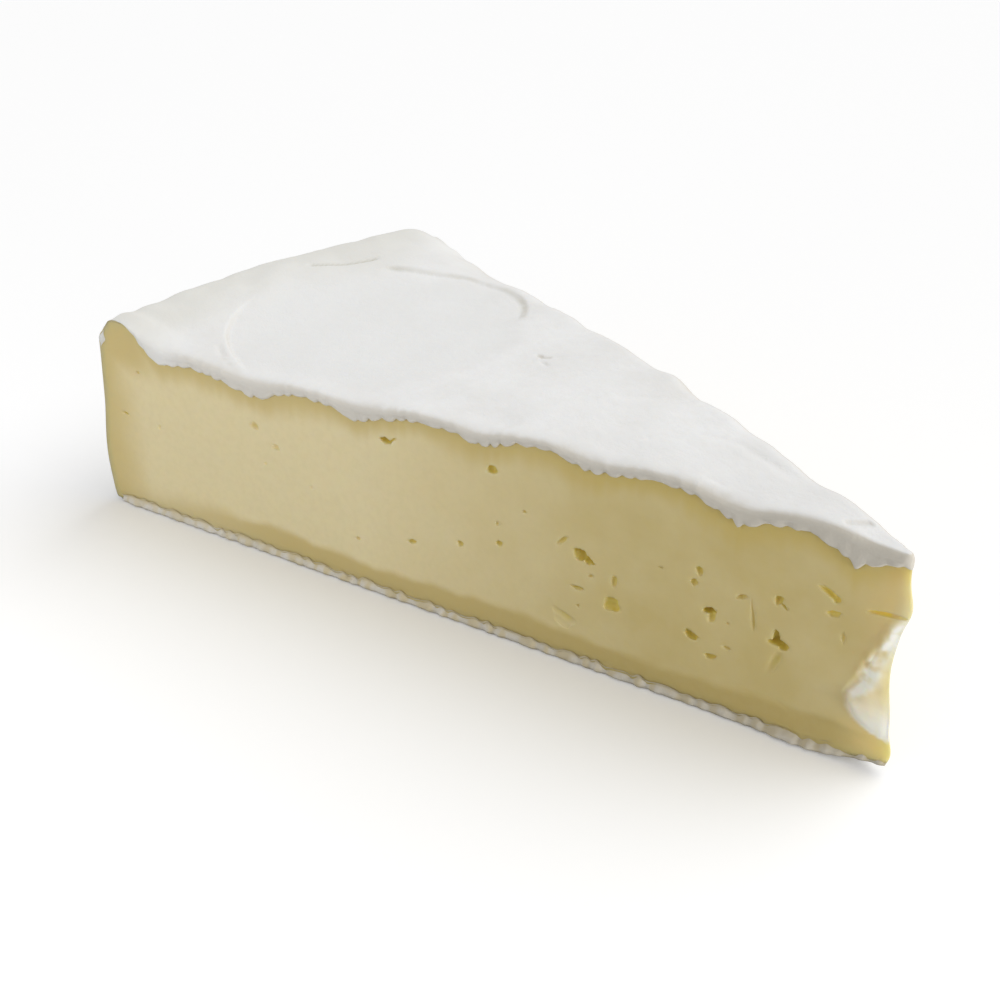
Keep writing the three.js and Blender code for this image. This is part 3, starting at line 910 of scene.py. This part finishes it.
sections = []
for u in stations(420, shoulder, 1.03):
    foot = u * (wheel_radius - 0.75) / shoulder
    lift = tip_lift * (1 - smooth(u, 0, tip_lift_length))
    beads = []
    for side in (-1, 1):
        tall, over = bead(u, side)
        shared_tall, shared_over = bead(u, -1)
        tall, over = mix(shared_tall, tall, smooth(u, 0, 4)), mix(shared_over, over, smooth(u, 0, 4))
        rows = []
        for i in range(bead_rows + 1):
            share = i / bead_rows
            bulge = smooth(share, -0.1, 0.65) * (1 - 0.35 * smooth(share, 0.75, 1))
            lump = 0.08 * grain(u, side * 23 + share, 5 * share, 1.0)
            out = -bead_root + (over + lump + bead_root) * bulge
            z = lift + tall * (1 - share)
            squeeze = min(1, u * half_angle / bead_root) if out < 0 else nose(u)
            rows.append(placed(foot, side * half_angle, z, out * squeeze))
        beads.append(rows)
    loop = beads[0]
    edge = max(1 - 0.6 / max(u * half_angle, 0.001), 0.3)
    for step in range(base_steps + 1):
        a = half_angle * mix(-edge, edge, step / base_steps)
        x, y = -foot * math.cos(a), foot * math.sin(a)
        relief = 0.06 + 0.06 * grain(x, y, 0, 2.5)
        loop.append(placed(foot, a, lift + relief * smooth(u, 0, 3)))
    loop += beads[1][::-1]
    for step in range(inside_steps + 1):
        a = half_angle * mix(edge, -edge, step / inside_steps)
        loop.append(placed(foot, a, lift + base_thickness))
    sections.append(loop)
bottom_rind = wrap("bottom_rind", sections)
grime = []
for vertex in bottom_rind.data.vertices:
    side, u, z, out = cut_place(vertex.co)
    height = z - tip_lift * (1 - smooth(u, 0, tip_lift_length))
    gap = 1 - smooth(knobs(u, side) + 0.6 * grain(u, side, z, 1.2), 0.1, 0.7)
    gap *= mix(0.8, 0.5, smooth(u, 85, 110))
    grime.append(max(gap, smooth(height, 0.95, 1.6)) * smooth(out, -1.5, -0.3))
bottom_rind.data.attributes.new("grime", "FLOAT", "POINT").data.foreach_set("value", grime)
under_finish = Finish("bottom_rind")
stains = under_finish.mottled(200)
patchy = under_finish.remap(stains["Blotch"], 0.38, 0.62)
stained = under_finish.blend(patchy, (0.72, 0.67, 0.56), (0.79, 0.75, 0.675))
flecks = under_finish.remap(stains["Fleck"], 0.5, 0.75, 0, 0.3)
stained = under_finish.blend(flecks, stained, (0.62, 0.54, 0.36))
stained = under_finish.blend(under_finish.attribute("grime"), stained, (0.68, 0.57, 0.33))
separate = under_finish.nodes.new("ShaderNodeSeparateXYZ")
under_finish.links.new(under_finish.place, separate.inputs[0])
near_tip = under_finish.remap(separate.outputs["X"], -0.02, 0.05, 0, 0.6)
stained = under_finish.blend(near_tip, stained, (0.48, 0.43, 0.33))
under_finish.links.new(stained, under_finish.shader.inputs["Base Color"])
under_finish.set(Roughness=0.8, Subsurface_Weight=0.12)
under_finish.set(Subsurface_Radius=(1, 0.8, 0.6), Subsurface_Scale=1.0 * mm)
under_finish.bump(under_finish.mottled(300)["Fleck"], 0.06)
bottom_rind.data.materials.append(under_finish.material)
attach(bottom_rind, "root")

# The stage: a plain pale floor, an even white sky that looks as pale as the floor, a soft sun from
# behind, a low fill by the rim's end of the front cut, and a small lamp that lights the torn tip.
bpy.ops.object.select_all(action="DESELECT")
bpy.ops.mesh.primitive_plane_add(size=8, location=(0, 0, -0.00005))
floor = bpy.context.object
floor.name = "floor"
floor_finish = bpy.data.materials.new("floor")
floor_finish.use_nodes = True
nodes, links = floor_finish.node_tree.nodes, floor_finish.node_tree.links
seen = nodes["Principled BSDF"]
seen.inputs["Base Color"].default_value = (0.97, 0.97, 0.97, 1)
seen.inputs["Roughness"].default_value = 0.9
seen.inputs["Emission Color"].default_value = (1, 1, 1, 1)
seen.inputs["Emission Strength"].default_value = 0.12
dull = nodes.new("ShaderNodeBsdfDiffuse")
dull.inputs["Color"].default_value = (0.42, 0.42, 0.42, 1)
either = nodes.new("ShaderNodeMixShader")
links.new(nodes.new("ShaderNodeLightPath").outputs["Is Camera Ray"], either.inputs[0])
links.new(dull.outputs[0], either.inputs[1])
links.new(seen.outputs[0], either.inputs[2])
links.new(either.outputs[0], nodes["Material Output"].inputs["Surface"])
floor.data.materials.append(floor_finish)

bpy.context.scene.view_settings.view_transform = "Standard"
world = bpy.data.worlds.new("studio")
bpy.context.scene.world = world
world.use_nodes = True
nodes, links = world.node_tree.nodes, world.node_tree.links
sky = nodes["Background"]
sky.inputs["Color"].default_value = (1, 1, 1, 1)
sky.inputs["Strength"].default_value = 0.53
backdrop = nodes.new("ShaderNodeBackground")
backdrop.inputs["Color"].default_value = (0.98, 0.98, 0.98, 1)
either = nodes.new("ShaderNodeMixShader")
links.new(nodes.new("ShaderNodeLightPath").outputs["Is Camera Ray"], either.inputs[0])
links.new(sky.outputs[0], either.inputs[1])
links.new(backdrop.outputs[0], either.inputs[2])
links.new(either.outputs[0], nodes["World Output"].inputs["Surface"])
bpy.ops.object.light_add(type="SUN")
key = bpy.context.object
key.data.energy = 1.45
key.data.angle = math.radians(60)
key_heading, key_height = math.radians(68), math.radians(50)
level = math.cos(key_height)
toward = Vector((level * math.cos(key_heading), level * math.sin(key_heading), math.sin(key_height)))
key.rotation_euler = toward.to_track_quat("Z", "Y").to_euler()
bpy.ops.object.light_add(type="AREA", location=(-0.04, -0.19, 0.02))
fill = bpy.context.object
fill.data.size = 0.08
fill.data.energy = 0.089
towards_cut = Vector((-0.02, -0.02, 0.01)) - fill.location
fill.rotation_euler = towards_cut.to_track_quat("-Z", "Y").to_euler()
fill.visible_camera = False
bpy.ops.object.light_add(type="AREA", location=(0.2, 0.01, 0.012))
side_lamp = bpy.context.object
side_lamp.data.size = 0.04
side_lamp.data.energy = 0.14
towards_tear = Vector((tip_x * mm, 0, 0.012)) - side_lamp.location
side_lamp.rotation_euler = towards_tear.to_track_quat("-Z", "Y").to_euler()
side_lamp.visible_camera = False

for piece in (paste, top_rind, bottom_rind):
    print(piece.name, "faces", len(piece.data.polygons))
